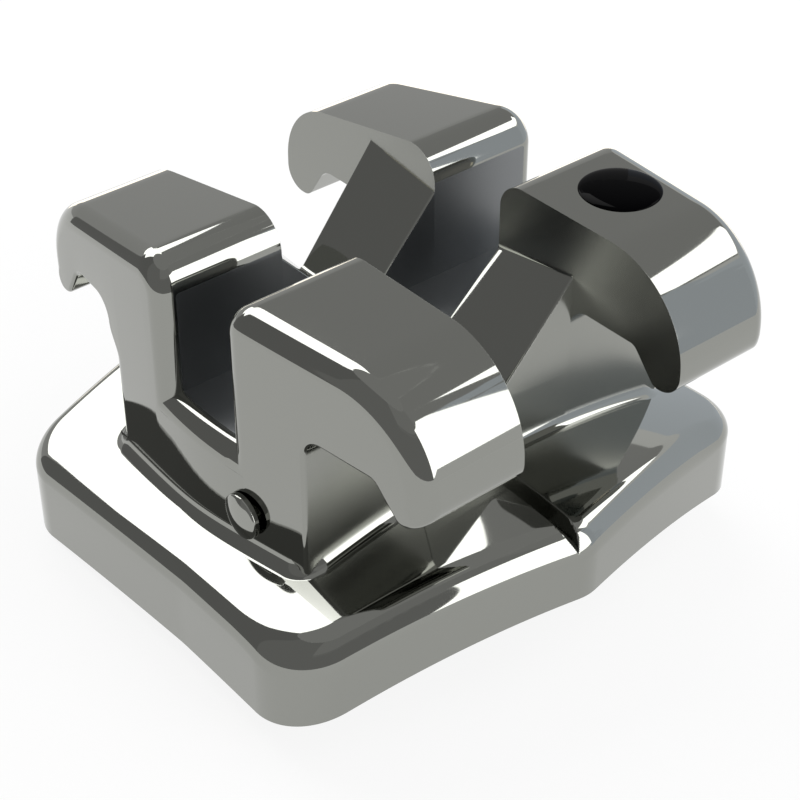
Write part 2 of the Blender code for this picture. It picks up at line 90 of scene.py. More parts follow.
# The studio, in millimetres, and its cards as the object sees them: corner angles in degrees.
FLOOR_Z, FLOOR_RADIUS, FLOOR_LIFT = -1.40, 9.0, 0.86
TENT_RADIUS, CARD_RADIUS = 60.0, 55.0
WHITE, WARM, COOL = "#FFFFFF", "#FFF6E8", "#E2E9F3"
CARDS = [
    ("ceiling", [(0, 60), (360, 60), (360, 90), (0, 90)], WHITE, 0.48),
    ("right_wall", [(290, 38), (422, 25), (422, 60), (290, 60)], WHITE, 0.46),
    ("back_wall", [(40, -2), (108, -2), (108, 42), (40, 27)], WHITE, 0.58),
    ("dark_flag", [(108, -32), (152, -32), (152, 60), (108, 60)], WHITE, 0.26),
    ("left_wall", [(152, -32), (213, -16), (213, 60), (152, 60)], WHITE, 0.32),
    ("upper_front", [(213, 25), (290, 35), (290, 60), (213, 60)], WHITE, 0.41),
    ("front_wall", [(213, -14), (279, -8), (279, 38), (213, 30)], WHITE, 0.32),
    ("softbox_right", [(272, -8), (308, 0), (308, 42), (272, 40)], WHITE, 4.2),
    ("front_gap", [(305, -45), (322, -45), (322, 42), (305, 42)], COOL, 1.0),
    ("softbox_far_right", [(322, 36), (360, 31), (360, 46), (316, 49)], WHITE, 4.2),
    ("softbox_behind", [(55, 39), (118, 28), (112, 60), (44, 62)], WHITE, 4.2),
    ("softbox_left", [(73, 25), (104, 21.5), (104, 36), (73, 37)], WHITE, 4.2),
    ("back_strip", [(12, -20), (80, -20), (80, 0), (12, -6)], WARM, 2.8),
    ("cool_wall", [(320, -30), (400, -30), (400, 22), (320, 33)], COOL, 1.1),
]


def mesh_piece(name, points, faces, sharp=30.0):
    """A piece of the object from points in millimetres, smooth but for the edges over an angle."""
    mesh = bpy.data.meshes.new(name)
    mesh.from_pydata(np.asarray(points) * 0.001, [], faces)
    mesh.validate()
    shape = bmesh.new()
    shape.from_mesh(mesh)
    bmesh.ops.remove_doubles(shape, verts=shape.verts, dist=1e-8)
    bmesh.ops.recalc_face_normals(shape, faces=shape.faces)
    shape.to_mesh(mesh)
    shape.free()
    obj = bpy.data.objects.new(name, mesh)
    bpy.context.scene.collection.objects.link(obj)
    mesh.shade_smooth()
    mesh.set_sharp_from_angle(angle=math.radians(sharp))
    weighted = obj.modifiers.new("Even normals", "WEIGHTED_NORMAL")
    weighted.mode = "FACE_AREA"
    weighted.weight = 100
    weighted.keep_sharp = True
    return obj


def grid_faces(rows, columns, closed=True):
    """Quads of a grid whose points run row by row; a closed grid joins its last column to its first."""
    r, c = np.meshgrid(np.arange(rows - 1), np.arange(columns if closed else columns - 1), indexing="ij")
    r, c = r.ravel(), c.ravel()
    n = (c + 1) % columns
    here, above = r * columns, (r + 1) * columns
    return np.column_stack([here + c, here + n, above + n, above + c]).tolist()


def rounded(corners, step=3.0, run=0.03):
    """A closed outline through corners (u, v, radius, tag).

    Each corner is an arc of its radius: centre + start turned by the angle, in steps of so many
    degrees. Straight stretches are divided to the run. Returns the points and a tag for each.
    """
    pieces = []
    tags = []
    places = np.array([corner[:2] for corner in corners], float)
    into = places - np.roll(places, 1, axis=0)
    into /= np.linalg.norm(into, axis=1)[:, None]
    out = np.roll(into, -1, axis=0)
    turn = np.arctan2(into[:, 0] * out[:, 1] - into[:, 1] * out[:, 0], (into * out).sum(1))
    for here, a, b, angle, (_, _, radius, tag) in zip(places, into, out, turn, corners):
        side = math.copysign(1.0, angle)
        centre = here - a * radius * math.tan(abs(angle) / 2) + side * radius * np.array((-a[1], a[0]))
        start = here - a * radius * math.tan(abs(angle) / 2) - centre
        count = max(2, math.ceil(math.degrees(abs(angle)) / step)) if radius else 0
        angles = angle * np.arange(count + 1) / max(count, 1)
        cos, sin = np.cos(angles), np.sin(angles)
        arc = centre + np.column_stack([cos * start[0] - sin * start[1], sin * start[0] + cos * start[1]])
        pieces.append(arc)
        tags.append(np.full(len(arc), tag, float))
    outline = []
    labels = []
    for arc, after, tag, next_tag in zip(pieces, pieces[1:] + pieces[:1], tags, tags[1:] + tags[:1]):
        outline.append(arc)
        labels.append(tag)
        gap = np.linalg.norm(after[0] - arc[-1])
        count = max(1, math.ceil(gap / run))
        share = (np.arange(1, count) / count)[:, None]
        outline.append(arc[-1] + (after[0] - arc[-1]) * share)
        labels.append(np.full(count - 1, tag[-1]))
    return np.concatenate(outline), np.concatenate(labels)


def inward(outline):
    """For each point of a counter-clockwise outline, the mitred step that moves its sides in by one."""
    before = outline - np.roll(outline, 1, axis=0)
    after = np.roll(outline, -1, axis=0) - outline
    before /= np.linalg.norm(before, axis=1)[:, None]
    after /= np.linalg.norm(after, axis=1)[:, None]
    middle = np.stack([-before[:, 1] - after[:, 1], before[:, 0] + after[:, 0]], 1)
    middle /= np.linalg.norm(middle, axis=1)[:, None]
    cosine = -middle[:, 0] * before[:, 1] + middle[:, 1] * before[:, 0]
    return middle / np.clip(cosine, 0.35, None)[:, None]


def lengths_along(outline):
    """How far along the closed outline each point is, and the whole length."""
    sides = np.linalg.norm(np.roll(outline, -1, axis=0) - outline, axis=1)
    return np.cumsum(sides) - sides, sides.sum()


def eased_to_hooks(outline, radii):
    """The end fillet's radius, growing from the hooks' edge by a smooth step of the way along."""
    at, whole = lengths_along(outline)
    gap = np.abs(at[:, None] - at[None, radii <= HOOK_FILLET])
    share = np.minimum(gap, whole - gap).min(1) / FILLET_BLEND
    share = np.clip(share, 0, 1)
    return HOOK_FILLET + (radii - HOOK_FILLET) * share**2 * (3 - 2 * share)


def blended(outline, radii):
    """The pad's fillet, each radius the mean of those near it, weighted by how near they are."""
    at, whole = lengths_along(outline)
    fine = np.linspace(0.0, whole, 2400, endpoint=False)
    values = radii[np.searchsorted(at, fine, side="right") - 1]
    gap = np.abs(fine[None] - at[:, None])
    weight = np.clip(1 - np.minimum(gap, whole - gap) / FILLET_BLEND, 0, None)
    return (weight * values).sum(1) / weight.sum(1)


def half_width(x, y):
    """Half the body's width: widest at the slot, narrowing as the square root of y squared plus a blend."""
    slope = np.where((x > 0) & (y < 0), TAPER_DISTAL_GINGIVAL, TAPER)
    return HALF_WIDTH - slope * (np.sqrt(y**2 + TAPER_BLEND**2) - TAPER_BLEND)


def pad_top(x, y):
    """A saddle: a tilt along Y less the squares of x and y, and of how far y is past the fall's start, each
    over twice its radius.
    """
    fall = np.clip(-y - PAD_FALL_START, 0, None) ** 2 / (2 * PAD_FALL_RADIUS)
    return PAD_TOP_Z - PAD_TILT * y - x**2 / (2 * PAD_RADIUS_X) - y**2 / (2 * PAD_RADIUS_Y) - fall


def pad_bottom(x, y):
    """The same form as pad_top, lower and with more bend along Y."""
    return PAD_BOTTOM_Z - PAD_TILT * y - x**2 / (2 * PAD_RADIUS_X) - y**2 / (2 * PAD_BOTTOM_RADIUS_Y)


def body_outline():
    """The side view of slot, wings and neck, counter-clockwise in (y, z), and the end fillet's radius."""
    sunk = PAD_TOP_Z - BODY_SINK
    behind = sunk - PAD_TILT * (NECK_OCCLUSAL + NECK_GINGIVAL)
    far = OCCLUSAL_TOP - OCCLUSAL_FALL * (OCCLUSAL_REACH - SLOT_HALF)
    corners = [
        (-NECK_GINGIVAL, sunk, 0.0, END_FILLET),
        (NECK_OCCLUSAL, behind, 0.0, END_FILLET),
        (NECK_OCCLUSAL, OCCLUSAL_CEILING, WING_ROOT, HOOK_FILLET),
        (OCCLUSAL_REACH - OCCLUSAL_HOLLOW, OCCLUSAL_CEILING, WING_ROOT, HOOK_FILLET),
        (OCCLUSAL_REACH - OCCLUSAL_LIP, OCCLUSAL_TIP, OCCLUSAL_LIP_ROUND, HOOK_FILLET),
        (OCCLUSAL_REACH, OCCLUSAL_TIP, NOSE, END_FILLET),
        (OCCLUSAL_REACH, far, OCCLUSAL_CROWN, END_FILLET),
        (SLOT_HALF, OCCLUSAL_TOP, LEAD_IN_OCCLUSAL, END_FILLET),
        (SLOT_HALF, 0.0, 0.0, END_FILLET),
        (-SLOT_HALF, 0.0, 0.0, END_FILLET),
        (-SLOT_HALF, SLOT_DEPTH, LEAD_IN_GINGIVAL, END_FILLET),
        (-GINGIVAL_REACH, SLOT_DEPTH, GINGIVAL_CROWN, END_FILLET),
        (-GINGIVAL_REACH, GINGIVAL_TIP, NOSE, END_FILLET),
        (-GINGIVAL_REACH + GINGIVAL_LIP, GINGIVAL_TIP, GINGIVAL_LIP_ROUND, HOOK_FILLET),
        (-GINGIVAL_REACH + GINGIVAL_HOLLOW, GINGIVAL_CEILING, GINGIVAL_LIP_ROUND, HOOK_FILLET),
        (-NECK_GINGIVAL, GINGIVAL_CEILING, WING_ROOT, HOOK_FILLET),
    ]
    outline, radii = rounded(corners)
    return outline, eased_to_hooks(outline, radii)


def wings(name, side):
    """One pair of wings with its stretch of slot and neck.

    The side view runs along X from the valley's wall. Near the outer face it moves in by
    r (1 - cos a) while x grows by r sin a, a from 0 to 90 degrees, which rounds the edge. Then the
    piece is cut into strips and x is scaled by the body's width at each y.
    """
    outline, radii = body_outline()
    step = inward(outline)
    angles = np.radians(np.linspace(0, 90, 19))[:, None]
    moved = outline + step * (radii * (1 - np.cos(angles)))[:, :, None]
    out = HALF_WIDTH - radii * (1 - np.sin(angles))
    inner = np.column_stack([np.full(len(outline), VALLEY_HALF), outline])
    rings = np.concatenate([inner[None], np.dstack([out, moved])])
    points = rings.reshape(-1, 3)
    count = len(outline)
    faces = grid_faces(len(rings), count)
    faces.append(list(range(count))[::-1])
    faces.append(list(range(len(points) - count, len(points))))
    shape = bmesh.new()
    mesh = bpy.data.meshes.new(name)
    mesh.from_pydata(points, [], faces)
    shape.from_mesh(mesh)
    for y in np.arange(-1.70, 1.72, 0.05):
        shape.faces.ensure_lookup_table()
        caps = [face for face in shape.faces if abs(face.calc_center_median().x - HALF_WIDTH) < 1e-5]
        geometry = caps + list({edge for face in caps for edge in face.edges})
        geometry += list({vert for face in caps for vert in face.verts})
        bmesh.ops.bisect_plane(shape, geom=geometry, dist=1e-6, plane_co=(0, y, 0), plane_no=(0, 1, 0))
    shape.to_mesh(mesh)
    shape.free()
    points = np.empty(len(mesh.vertices) * 3)
    mesh.vertices.foreach_get("co", points)
    points = points.reshape(-1, 3)
    faces = [list(polygon.vertices) for polygon in mesh.polygons]
    bpy.data.meshes.remove(mesh)
    x, y = points[:, 0], points[:, 1]
    scaled = np.where(x > VALLEY_HALF + 1e-5, x * half_width(side * x, y) / HALF_WIDTH, x)
    points[:, 0] = side * scaled
    return mesh_piece(name, points, faces)


def ramp_section(base):
    """The neck's section in (x, z) beside the slot, where the ramps meet the valley's walls at base."""
    low = PAD_TOP_Z - BODY_SINK
    corners = [
        (-VALLEY_HALF, low, 0.0, 0.0),
        (VALLEY_HALF, low, 0.0, 0.0),
        (VALLEY_HALF, base + 0.02, 0.0, 0.0),
        (VALLEY_HALF - 0.002, base, 0.040, 0.0),
        (VALLEY_FLOOR_HALF, 0.0, 0.030, 0.0),
        (-VALLEY_FLOOR_HALF, 0.0, 0.030, 0.0),
        (-VALLEY_HALF + 0.002, base, 0.040, 0.0),
        (-VALLEY_HALF, base + 0.02, 0.0, 0.0),
    ]
    outline, _ = rounded(corners, 6.0, 1.0)
    return outline


def valley_block(name, side):
    """The neck under one end of the valley, with its two ramps, from the slot's wall outwards.

    Sections along Y, whose heights grow by the rise times the way from the slot. At both ends the
    ramps' skin moves in by r (1 - cos a) while y stops short by r (1 - sin a), which rounds their edges.
    """
    base, start, end = (VALLEY_FOOT_GINGIVAL, -SLOT_HALF, -RAMP_GINGIVAL)
    if side > 0:
        base, start, end = (VALLEY_FOOT_OCCLUSAL, SLOT_HALF, RAMP_OCCLUSAL)
    section = ramp_section(base)
    free = (section[:, 1] > -0.02) & (np.abs(section[:, 0]) < VALLEY_HALF - 0.0025)
    limit = np.where(free, VALLEY_HALF - 0.0022, VALLEY_HALF)
    away = math.copysign(RAMP_EDGE, end - start)
    angles = np.radians(np.linspace(0, 90, 7))
    stations = [(start + away * (1 - math.cos(a)), RAMP_EDGE * (1 - math.sin(a))) for a in angles]
    stations += [(y, 0.0) for y in np.linspace(start + away, end - away, 12)[1:-1]]
    stations += [(end - away * (1 - math.sin(a)), RAMP_EDGE * (1 - math.cos(a))) for a in angles]
    rings = []
    for y, inset in stations:
        grown = 1 + VALLEY_FOOT_RISE * (abs(y) - VALLEY_INNER) / base
        outline = np.column_stack([section[:, 0], section[:, 1] * np.where(section[:, 1] > 0, grown, 1.0)])
        moved = outline + inward(outline) * (inset * free)[:, None]
        moved[:, 0] = np.clip(moved[:, 0], -limit, limit)
        rings.append(np.column_stack([moved[:, 0], np.full(len(moved), y), moved[:, 1]]))
    count = len(rings[0])
    faces = grid_faces(len(rings), count)
    faces.append(list(range(count))[::-1])
    faces.append(list(range((len(rings) - 1) * count, len(rings) * count)))
    return mesh_piece(name, np.concatenate(rings), faces)


def slot_bed(name):
    """The block under the slot's floor between the wings."""
    low = PAD_TOP_Z - BODY_SINK
    z, y, x = np.meshgrid((low, 0.0), (-SLOT_HALF, SLOT_HALF), (-VALLEY_HALF, VALLEY_HALF), indexing="ij")
    corners = np.column_stack([x.ravel(), y.ravel(), z.ravel()])
    faces = [(0, 1, 3, 2), (4, 5, 7, 6), (0, 1, 5, 4), (2, 3, 7, 6), (0, 2, 6, 4), (1, 3, 7, 5)]
    return mesh_piece(name, corners, faces)


def pad_outline():
    """The pad's plan, counter-clockwise, and its top edge's fillet, with more points at the scribe line."""
    front = PAD_FRONT - PAD_VEE * PAD_HALF_FRONT
    corners = [
        (0.0, -PAD_FRONT, PAD_POINT_ROUND, PAD_FRONT_FILLET),
        (PAD_HALF_DISTAL, -PAD_FRONT + PAD_VEE * PAD_HALF_DISTAL, PAD_CORNER, PAD_FILLET),
        (PAD_HALF_DISTAL, PAD_BACK - PAD_VEE * PAD_HALF_DISTAL, PAD_CORNER, PAD_FILLET),
        (0.0, PAD_BACK, PAD_POINT_ROUND, PAD_FILLET),
        (-PAD_HALF_BACK, PAD_BACK - PAD_VEE * PAD_HALF_BACK, PAD_CORNER, PAD_FILLET),
        (-PAD_HALF_BACK, -0.25, 2.0, PAD_FILLET),
        (-PAD_HALF_FRONT, -front, PAD_CORNER, PAD_FRONT_FILLET),
    ]
    outline, fillets = rounded(corners, 2.0, 0.03)
    fillets = blended(outline, fillets)
    gingival = outline[:, 1] < GINGIVAL_EDGE
    order = np.argsort(outline[gingival, 0])
    known = np.column_stack([outline, fillets])[gingival][order]
    before = np.linspace(-SCRIBE_KEPT, -SCRIBE_HALF, 17)[:-1]
    after = np.linspace(SCRIBE_HALF, SCRIBE_KEPT, 17)[1:]
    near = SCRIBE_X + np.concatenate([before, np.linspace(-SCRIBE_HALF, SCRIBE_HALF, 25), after])
    fine = np.column_stack([near] + [np.interp(near, known[:, 0], known[:, axis]) for axis in (1, 2)])
    replaced = gingival & (np.abs(outline[:, 0] - SCRIBE_X) < SCRIBE_KEPT + 0.004)
    kept = np.column_stack([outline, fillets])[~replaced]
    mesial = (kept[:, 1] < GINGIVAL_EDGE) & (kept[:, 0] < SCRIBE_X)
    first = np.argmax(np.where(mesial, kept[:, 0], -9)) + 1
    known = np.vstack([kept[:first], fine, kept[first:]])
    return known[:, :2], known[:, 2]


def scribe_floor(x, y):
    """The scribe line's V: its point so deep under the pad, rising by the depth over its half width."""
    rise = SCRIBE_DEPTH * np.abs(x - SCRIBE_X) / SCRIBE_HALF
    floor = pad_top(np.full_like(y, SCRIBE_X), y) - SCRIBE_DEPTH + rise
    return np.where((y < SCRIBE_START) & (rise <= 1.5 * SCRIBE_DEPTH), floor, 9.0)


def straightened(outline, step):
    """The steps inwards, changed along the outline so that near the scribe line they keep x."""
    tangent = np.roll(outline, -1, axis=0) - np.roll(outline, 1, axis=0)
    tangent /= np.linalg.norm(tangent, axis=1)[:, None]
    near = 1 - np.clip((np.abs(outline[:, 0] - SCRIBE_X) - SCRIBE_KEPT) / SCRIBE_EASE, 0, 1)
    near *= outline[:, 1] < GINGIVAL_EDGE
    along = -near * step[:, 0] / np.where(np.abs(tangent[:, 0]) > 0.5, tangent[:, 0], 1.0)
    return step + tangent * along[:, None]


def pad(name):
    """The bonding pad: a top saddle, a rounded top edge, an upright wall and a pocketed underside.

    Rings of the plan: the top ones shrink to the middle but keep their x near the scribe line, and
    the edge ones move in by r (1 - cos a) and fall by r (1 - sin a). The scribe line is the lower of
    the pad's height and the line's V.
    """
    outline, fillets = pad_outline()
    step = straightened(outline, inward(outline))
    inner = outline + step * fillets[:, None]
    centre = np.array((SCRIBE_X, POCKET_MIDDLE_Y))
    from_line = inner[:, 0] - SCRIBE_X
    held = np.clip(from_line, -SCRIBE_KEPT, SCRIBE_KEPT)
    rings = []
    shares = np.concatenate([np.linspace(1.0, 0.90, 12)[1:], np.linspace(0.90, 0.5, 34)[1:], [0.3, 0.02]])
    for share in shares[::-1]:
        x = SCRIBE_X + held + (from_line - held) * share
        y = centre[1] + (inner[:, 1] - centre[1]) * share
        rings.append(np.column_stack([x, y, np.minimum(pad_top(x, y), scribe_floor(x, y))]))
    for angle in np.radians(np.linspace(90, 0, 25)):
        x, y = (outline + step * (fillets * (1 - math.cos(angle)))[:, None]).T
        z = pad_top(x, y) - fillets * (1 - math.sin(angle))
        rings.append(np.column_stack([x, y, np.minimum(z, scribe_floor(x, y))]))
    edge = pad_top(outline[:, 0], outline[:, 1]) - fillets
    foot = pad_bottom(outline[:, 0], outline[:, 1])
    for share in (0.25, 0.5, 0.75, 1.0):
        rings.append(np.column_stack([outline, edge + (foot - edge) * share]))
    middle = np.array((0.0, POCKET_MIDDLE_Y))
    ray = outline - middle
    hit = middle + ray * np.minimum(POCKET_X / np.abs(ray[:, 0]), POCKET_Y / np.abs(ray[:, 1]))[:, None]
    for share in (0.25, 0.5, 0.75, 1.0):
        plan = outline + (hit - outline) * share
        rings.append(np.column_stack([plan, pad_bottom(plan[:, 0], plan[:, 1])]))
    wide = middle + (hit - middle) * (1 + (POST_FACE - POST_ROOT) / 2 / POCKET_X)
    rings.append(np.column_stack([wide, pad_bottom(wide[:, 0], wide[:, 1]) + POST_HEIGHT]))
    for share in (0.8, 0.6, 0.4, 0.2, 0.02):
        plan = middle + (wide - middle) * share
        rings.append(np.column_stack([plan, pad_bottom(plan[:, 0], plan[:, 1]) + POST_HEIGHT]))
    count = len(outline)
    points = np.concatenate(rings)
    faces = grid_faces(len(rings), count)
    faces.append(list(range(count))[::-1])
    faces.append(list(range(len(points) - count, len(points))))
    return mesh_piece(name, points, faces)


def foot(name):
    """The concave fillet round the neck's foot: a quarter circle whose base follows the pad's top.

    Its shelf reaches under the neck, to the ramps where they stand back from the wings.
    """
    corners = [
        (HALF_WIDTH, -NECK_GINGIVAL, END_FILLET, 0.0),
        (HALF_WIDTH, NECK_OCCLUSAL, END_FILLET, 0.0),
        (-HALF_WIDTH, NECK_OCCLUSAL, END_FILLET, 0.0),
        (-HALF_WIDTH, -NECK_GINGIVAL, END_FILLET, 0.0),
    ]
    outline, _ = rounded(corners)
    step = inward(outline)
    rings = []
    sunk = 0.0008
    section = [(FOOT_SHELF, -0.04), (FOOT_SHELF, FOOT_FILLET), (0.0, FOOT_FILLET)]
    angles = np.radians(np.linspace(0, 90, 19))
    section += [(-FOOT_FILLET * (1 - math.cos(a)), FOOT_FILLET * (1 - math.sin(a))) for a in angles[1:]]
    section += [(-FOOT_FILLET, -0.04)]
    for into, up in section:
        plan = outline + step * (into + sunk)
        x = plan[:, 0] * half_width(plan[:, 0], plan[:, 1]) / HALF_WIDTH
        rings.append(np.column_stack([x, plan[:, 1], pad_top(x, plan[:, 1]) + up - sunk]))
    rings.append(rings[0])
    return mesh_piece(name, np.concatenate(rings), grid_faces(len(rings), len(outline)))


def retention_posts(name):
    """The undercut posts in the pocket: each is a four-sided frustum, wide at its face."""
    i, j = np.meshgrid(np.arange(6), np.arange(5), indexing="ij")
    x = (i.ravel() - 2.5) * POST_PITCH
    y = (j.ravel() - 2.0) * POST_PITCH + POCKET_MIDDLE_Y
    corners = np.array([(-1, -1), (1, -1), (1, 1), (-1, 1)]) / 2
    points = []
    for width, lift in ((POST_FACE, 0.0), (POST_ROOT, POST_HEIGHT + 0.02)):
        cx = x[:, None] + corners[None, :, 0] * width
        cy = y[:, None] + corners[None, :, 1] * width
        points.append(np.dstack([cx, cy, pad_bottom(cx, cy) + lift]))
    stacked = np.concatenate(points, axis=1).reshape(-1, 3)
    box = np.array([(0, 1, 2, 3), (4, 5, 6, 7), (0, 1, 5, 4), (1, 2, 6, 5), (2, 3, 7, 6), (3, 0, 4, 7)])
    faces = (box[None] + 8 * np.arange(len(x))[:, None, None]).reshape(-1, 4).tolist()
    return mesh_piece(name, stacked, faces)


def turned(name, sections, place, segments=128):
    """A piece turned about its axis from (radius, height) sections, then put in place by a function."""
    around = 2 * math.pi * np.arange(segments) / segments
    radius, height = np.array(sections).T
    u = radius[:, None] * np.cos(around)
    v = radius[:, None] * np.sin(around)
    w = np.repeat(height[:, None], segments, axis=1)
    points = place(u.ravel(), v.ravel(), w.ravel())
    faces = grid_faces(len(sections), segments)
    faces.append(list(range(segments))[::-1])
    faces.append(list(range(len(points) - segments, len(points))))
    return mesh_piece(name, points, faces)


def id_dot(name):
    """The enamel dot: a shallow dome, its height the sine of the angle whose cosine is its radius share."""
    angles = np.radians(np.linspace(0, 88, 30))
    dome = [(DOT_RADIUS * math.cos(a), DOT_CROWN * math.sin(a)) for a in angles]
    sections = [(DOT_RADIUS, -DOT_SUNK)] + dome
    return turned(name, sections, lambda u, v, w: np.column_stack([DOT_X + u, DOT_Y + v, SLOT_DEPTH + w]))


def stud(name):
    """The stud on the mesial face: a shank and a domed head.

    The dome's height falls as the square of its radius, and a short arc rounds its rim.
    """
    face = float(half_width(-1.0, STUD_Y))
    sections = [(STUD_SHANK, -STUD_SUNK), (STUD_SHANK, STUD_LIFT), (STUD_RADIUS, STUD_LIFT)]
    for a in np.radians(np.linspace(0, 62, 8)):
        height = STUD_EDGE - 0.010 + STUD_RIM * math.sin(a)
        sections.append((STUD_RADIUS - STUD_RIM * (1 - math.cos(a)), height))
    rim, top = sections[-1]
    for share in np.linspace(0.96, 0.04, 24):
        sections.append((rim * share, top + STUD_CROWN * (1 - share**2)))
    return turned(name, sections, lambda u, v, w: np.column_stack([-face - w, STUD_Y + v, STUD_Z + u]))


def linear(colour):
    """An sRGB hex colour as linear red, green, blue and alpha."""
    parts = np.array([int(colour[i : i + 2], 16) / 255 for i in (1, 3, 5)])
    flat = np.where(parts <= 0.04045, parts / 12.92, ((parts + 0.055) / 1.055) ** 2.4)
    return (*flat, 1.0)


def node(tree, kind, settings=None, links=None):
    """Adds a node; settings go to its properties or inputs, and links join inputs to outputs."""
    made = tree.nodes.new(kind)
    for key, value in (settings or {}).items():
        if isinstance(key, str) and hasattr(made, key) and key not in made.inputs:
            setattr(made, key, value)
        else:
            made.inputs[key].default_value = value
    for key, source in (links or {}).items():
        tree.links.new(source, made.inputs[key])
    return made


def shader_of(name):
    """A new material's node tree and its Principled shader."""
    made = bpy.data.materials.new(name)
    made.use_nodes = True
    return made, made.node_tree, made.node_tree.nodes["Principled BSDF"]


def polished_steel(name, colour, roughness):
    """Electropolished stainless steel: a mirror with a faint unevenness that softens some reflections.

    The photograph shows soft gradients, not clear mirror images, in the slot, on the valley's walls
    and under the gingival hooks. So the slot's walls and floor are taken as milled and satin, and are
    given a darker colour that is painted shade of the slot's recess; the valley's walls and that part of
    the neck are taken as half polished. Each is found by its plane.
    """
    made, tree, shader = shader_of(name)
    place = node(tree, "ShaderNodeTexCoord")
    seen = {"Vector": place.outputs["Object"]}
    patches = node(tree, "ShaderNodeTexNoise", {"Scale": 2600.0, "Detail": 3.0}, seen)
    spread = {"From Min": 0.3, "From Max": 0.7, "To Min": roughness * 0.85, "To Max": roughness * 1.2}
    rough = node(tree, "ShaderNodeMapRange", spread, {"Value": patches.outputs["Fac"]})
    axes = node(tree, "ShaderNodeSeparateXYZ", links=seen)
    size = {}
    for axis in "XYZ":
        made_size = node(tree, "ShaderNodeMath", {"operation": "ABSOLUTE"}, {0: axes.outputs[axis]})
        size[axis] = made_size.outputs["Value"]
    near = {"operation": "COMPARE", 2: 0.0000015}
    less, more = {"operation": "LESS_THAN"}, {"operation": "GREATER_THAN"}
    times, most = {"operation": "MULTIPLY"}, {"operation": "MAXIMUM"}
    sides = node(tree, "ShaderNodeMath", {**near, 1: SLOT_HALF * 0.001}, {0: size["Y"]})
    level = node(tree, "ShaderNodeMath", {**near, 1: 0.0}, {0: size["Z"]})
    facing = node(tree, "ShaderNodeSeparateXYZ", links={"Vector": place.outputs["Normal"]})
    front = node(tree, "ShaderNodeMath", {**less, 1: -0.9}, {0: facing.outputs["Y"]})
    at_neck = {**near, 1: -NECK_GINGIVAL * 0.001, 2: 0.000006}
    plane = node(tree, "ShaderNodeMath", at_neck, {0: axes.outputs["Y"]})
    neck = node(tree, "ShaderNodeMath", times, {0: front.outputs["Value"], 1: plane.outputs["Value"]})
    walls = node(tree, "ShaderNodeMath", {**near, 1: VALLEY_HALF * 0.001}, {0: size["X"]})
    within = node(tree, "ShaderNodeMath", {**less, 1: SLOT_HALF * 0.001}, {0: size["Y"]})
    above = node(tree, "ShaderNodeMath", {**more, 1: 0.0}, {0: axes.outputs["Z"]})
    bed = node(tree, "ShaderNodeMath", times, {0: level.outputs["Value"], 1: within.outputs["Value"]})
    flanks = node(tree, "ShaderNodeMath", times, {0: sides.outputs["Value"], 1: above.outputs["Value"]})
    valley = node(tree, "ShaderNodeMath", times, {0: walls.outputs["Value"], 1: above.outputs["Value"]})
    # The slot's walls and floor: a satin roughness, and a darker colour that is painted shade of the slot's
    # recess.
    slot_satin_and_shade = node(tree, "ShaderNodeMath", most, {0: flanks.outputs["Value"], 1: bed.outputs["Value"]})
    hidden = node(tree, "ShaderNodeMath", most, {0: valley.outputs["Value"], 1: neck.outputs["Value"]})
    half = {"Factor": hidden.outputs["Value"], "A": rough.outputs["Result"]}
    softer = node(tree, "ShaderNodeMix", {"B": VALLEY_SATIN}, half)
    rest = {"Factor": slot_satin_and_shade.outputs["Value"], "A": softer.outputs["Result"]}
    finish = node(tree, "ShaderNodeMix", {"B": SATIN}, rest)
    # The slot's walls and floor take the darker colour, painted shade of the slot's recess.
    tones = {"data_type": "RGBA", 6: linear(colour), 7: linear(SLOT_SHADE_COLOUR)}
    tone = node(tree, "ShaderNodeMix", tones, {"Factor": slot_satin_and_shade.outputs["Value"]})
    tree.links.new(tone.outputs[2], shader.inputs["Base Color"])
    tree.links.new(finish.outputs["Result"], shader.inputs["Roughness"])
    shader.inputs["Metallic"].default_value = 1.0
    return made


def black_enamel(name):
    """Fired black enamel: almost no colour of its own under a smooth, slightly wavy skin.

    Its gloss is far under real enamel's, because the photographed dot is almost pure black.
    """
    made, tree, shader = shader_of(name)
    place = node(tree, "ShaderNodeTexCoord")
    seen = {"Vector": place.outputs["Object"]}
    wave = node(tree, "ShaderNodeTexNoise", {"Scale": 5000.0, "Detail": 1.0}, seen)
    spread = {"To Min": 0.02, "To Max": 0.06}
    rough = node(tree, "ShaderNodeMapRange", spread, {"Value": wave.outputs["Fac"]})
    tree.links.new(rough.outputs["Result"], shader.inputs["Roughness"])
    shader.inputs["Base Color"].default_value = linear("#020203")
    shader.inputs["Specular IOR Level"].default_value = 0.02
    return made


def camera():
    """The photograph's camera, found from the bracket's own edges."""
    data = bpy.data.cameras.new("camera")
    obj = bpy.data.objects.new("camera", data)
    bpy.context.scene.collection.objects.link(obj)
    data.sensor_width = 36.0
    data.lens = 87.80
    data.clip_start = 0.0005
    data.clip_end = 2.0
    turn, drop = math.radians(50.16), math.radians(36.62)
    ahead = np.array((math.cos(turn) * math.cos(drop), math.sin(turn) * math.cos(drop), -math.sin(drop)))
    right = np.array((math.sin(turn), -math.cos(turn), 0.0))
    up = np.cross(right, ahead)
    stand = np.array((-5.921, -7.169, 6.408)) * 0.001
    rows = [(right[i], up[i], -ahead[i], stand[i]) for i in range(3)]
    obj.matrix_world = Matrix(rows + [(0.0, 0.0, 0.0, 1.0)])
    bpy.context.scene.camera = obj
    return obj


def seen_as_background(tree):
    """One for camera, glossy and transmission rays and nothing for the rest, from Light Path."""
    path = node(tree, "ShaderNodeLightPath")
    most = {"operation": "MAXIMUM"}
    direct = {0: path.outputs["Is Camera Ray"], 1: path.outputs["Is Glossy Ray"]}
    seen = node(tree, "ShaderNodeMath", most, direct)
    through = {0: seen.outputs["Value"], 1: path.outputs["Is Transmission Ray"]}
    return node(tree, "ShaderNodeMath", most, through).outputs["Value"]


